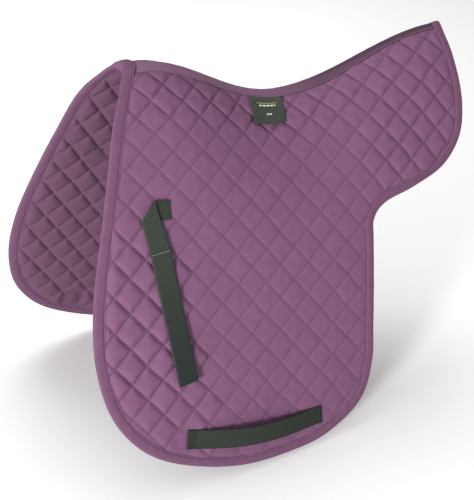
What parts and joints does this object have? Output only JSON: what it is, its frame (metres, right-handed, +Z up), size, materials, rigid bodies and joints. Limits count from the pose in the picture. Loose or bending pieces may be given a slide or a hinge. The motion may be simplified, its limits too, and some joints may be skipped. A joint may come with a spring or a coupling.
{
  "type": "numnah",
  "caption": "Forward cut quilted saddle pad whose halves fold along the spine, with bound edges, touch fastener straps and girth loops.",
  "frame": {"origin": "underside of the spine seam at its lowest point, where the horse's back carries the pad", "axes": "-X to the horse's head, +X to its tail, -Y its near (left) side, +Z up"},
  "size_m": [0.7075, 0.522, 0.5684],
  "materials": {
    "quilted_cotton": "matt twill weave, quilted",
    "lining_cotton": "matt plain weave, quilted",
    "polyester_wadding": "loose fibre wadding",
    "cotton_binding": "matt bias binding",
    "webbing": "ribbed woven webbing",
    "soft_tape": "looped touch fastener",
    "hook_tape": "hooked touch fastener, smoother",
    "woven_label": "fine woven label"
  },
  "bodies": {
    "spine": {"spine_tape": "cotton_binding", "spine_inner_tape": "cotton_binding"},
    "near_flap": {"near_cover": "quilted_cotton", "near_wadding": "polyester_wadding", "near_lining": "lining_cotton", "near_edge_binding": "cotton_binding", "near_girth_loop": "webbing", "near_strap_anchor": "webbing", "size_label": "woven_label"},
    "near_strap": {"near_strap_web": "webbing", "near_soft_tape": "soft_tape"},
    "near_tab": {"near_strap_tab": "webbing", "near_hook_tape": "hook_tape"},
    "far_flap": {"far_cover": "quilted_cotton", "far_wadding": "polyester_wadding", "far_lining": "lining_cotton", "far_edge_binding": "cotton_binding", "far_girth_loop": "webbing", "far_strap_anchor": "webbing"},
    "far_strap": {"far_strap_web": "webbing", "far_soft_tape": "soft_tape"},
    "far_tab": {"far_strap_tab": "webbing", "far_hook_tape": "hook_tape"}
  },
  "joints": [
    {"name": "near_flap_fold", "type": "hinge", "parent": "spine", "child": "near_flap", "pos_m": [0, 0, -0.0245], "axis": [1, 0, 0], "range_deg": [0, 25], "deforming": ["spine_tape", "spine_inner_tape"]},
    {"name": "far_flap_fold", "type": "hinge", "parent": "spine", "child": "far_flap", "pos_m": [0, 0, -0.0245], "axis": [-1, 0, 0], "range_deg": [0, 25], "deforming": ["spine_tape", "spine_inner_tape"]},
    {"name": "near_strap_swing", "type": "hinge", "parent": "near_flap", "child": "near_strap", "pos_m": [-0.27714, -0.13743, -0.09071], "axis": [-0.6606, -0.3032, -0.6868], "range_deg": [0, 150]},
    {"name": "far_strap_swing", "type": "hinge", "parent": "far_flap", "child": "far_strap", "pos_m": [-0.27714, 0.13743, -0.09071], "axis": [0.6606, -0.3032, 0.6868], "range_deg": [0, 150]},
    {"name": "near_tab_fold", "type": "hinge", "parent": "near_strap", "child": "near_tab", "pos_m": [-0.26753, -0.19249, -0.23317], "axis": [-0.9956, -0.0878, -0.0332], "range_deg": [0, 175]},
    {"name": "far_tab_fold", "type": "hinge", "parent": "far_strap", "child": "far_tab", "pos_m": [-0.26753, 0.19249, -0.23317], "axis": [0.9956, -0.0878, 0.0332], "range_deg": [0, 175]}
  ]
}
